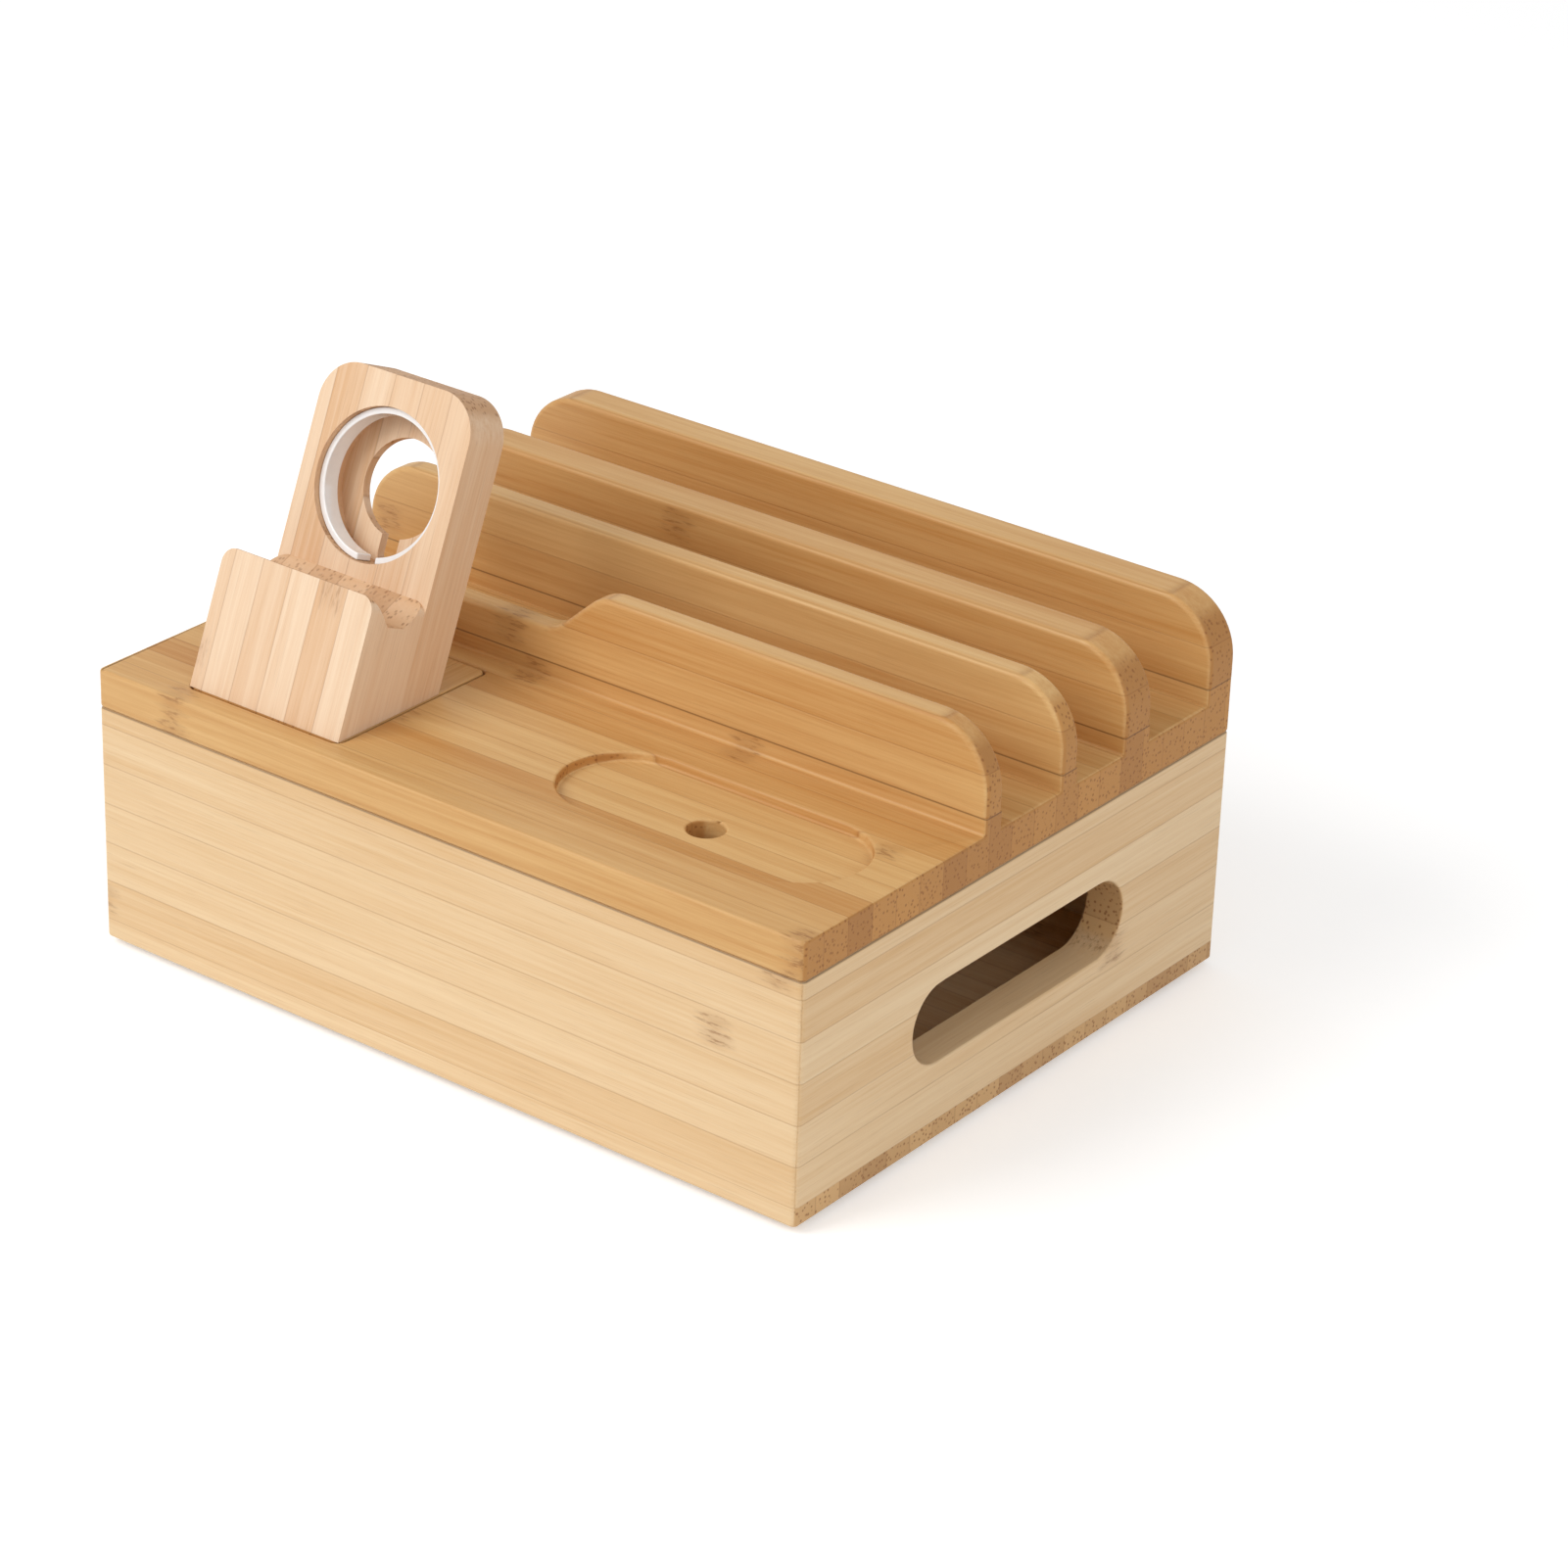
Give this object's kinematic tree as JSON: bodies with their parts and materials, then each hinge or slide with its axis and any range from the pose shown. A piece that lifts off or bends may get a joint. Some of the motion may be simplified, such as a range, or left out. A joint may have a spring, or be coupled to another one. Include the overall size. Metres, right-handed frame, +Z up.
{
  "type": "charging station organizer",
  "caption": "Bamboo desk box for chargers with a lift-off lid that has upright dividers for phones and tablets, an earbud tray and a leaning watch stand.",
  "frame": {"origin": "middle of the footprint, on the surface that the pads stand on", "axes": "+X to the right along the long front, +Y from the front to the back, +Z up"},
  "size_m": [0.17, 0.135, 0.115],
  "materials": {
    "box_wood": "satin lacquer on laminated bamboo",
    "lid_wood": "satin lacquer on laminated bamboo",
    "stand_wood": "satin lacquer on laminated bamboo",
    "ring_plastic": "glossy white",
    "pad_rubber": "matte"
  },
  "bodies": {
    "box": {"bottom_panel": "box_wood", "front_panel": "box_wood", "back_panel": "box_wood", "left_panel": "box_wood", "right_panel": "box_wood", "front_left_pad": "pad_rubber", "front_right_pad": "pad_rubber", "back_left_pad": "pad_rubber", "back_right_pad": "pad_rubber"},
    "lid": {"lid_board": "lid_wood", "front_divider": "lid_wood", "second_divider": "lid_wood", "third_divider": "lid_wood", "back_divider": "lid_wood", "left_cleat": "lid_wood", "right_cleat": "lid_wood"},
    "watch_stand": {"stand_foot": "stand_wood", "stand_lip": "stand_wood", "stand_upright": "stand_wood", "charger_ring": "ring_plastic"}
  },
  "joints": [
    {"name": "lid_lift", "type": "slide", "parent": "box", "child": "lid", "axis": [0, 0, 1], "range_m": [0, 0.06]},
    {"name": "watch_stand_lift", "type": "slide", "parent": "lid", "child": "watch_stand", "axis": [0, 0, 1], "range_m": [0, 0.06]}
  ]
}
